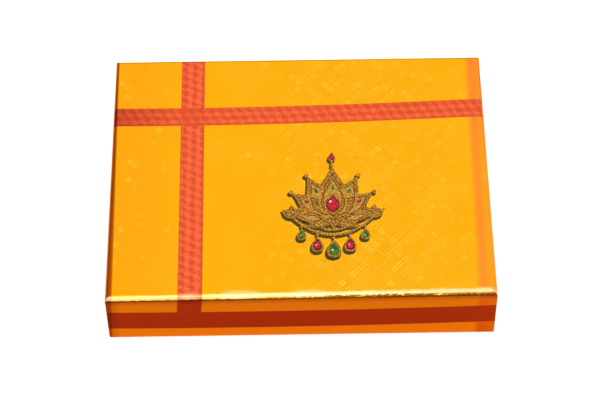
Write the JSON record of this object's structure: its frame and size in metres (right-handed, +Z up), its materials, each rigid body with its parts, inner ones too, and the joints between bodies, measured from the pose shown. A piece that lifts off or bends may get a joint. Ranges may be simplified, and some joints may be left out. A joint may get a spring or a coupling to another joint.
{
  "type": "sweet box",
  "caption": "Flat two-piece gift box for sweets: a full-depth lift-off lid over a board tray, both wrapped in gold foil paper with printed red ribbons.",
  "frame": {"origin": "middle of the underside, on the surface that the box stands on", "axes": "+Z up through the lid; +X along the long sides; the front wall faces -Y"},
  "size_m": [0.254, 0.2032, 0.0444],
  "materials": {
    "greyboard": "matte",
    "kraft_tape": "matte",
    "printed_foil_paper": "gloss",
    "plain_foil_paper": "gloss",
    "lining_paper": "satin",
    "bottom_card": "matte",
    "greaseproof_paper": "satin"
  },
  "bodies": {
    "base": {"base_board": "greyboard", "base_corner_stays": "kraft_tape", "base_wrap": "plain_foil_paper", "base_bottom_sheet": "bottom_card", "base_lining": "lining_paper", "greaseproof_liner": "greaseproof_paper"},
    "lid": {"lid_board": "greyboard", "lid_corner_stays": "kraft_tape", "lid_wrap": "printed_foil_paper", "lid_lining": "lining_paper"}
  },
  "joints": [
    {"name": "lid_lift", "type": "slide", "parent": "base", "child": "lid", "axis": [0, 0, 1], "range_m": [0, 0.1]}
  ]
}
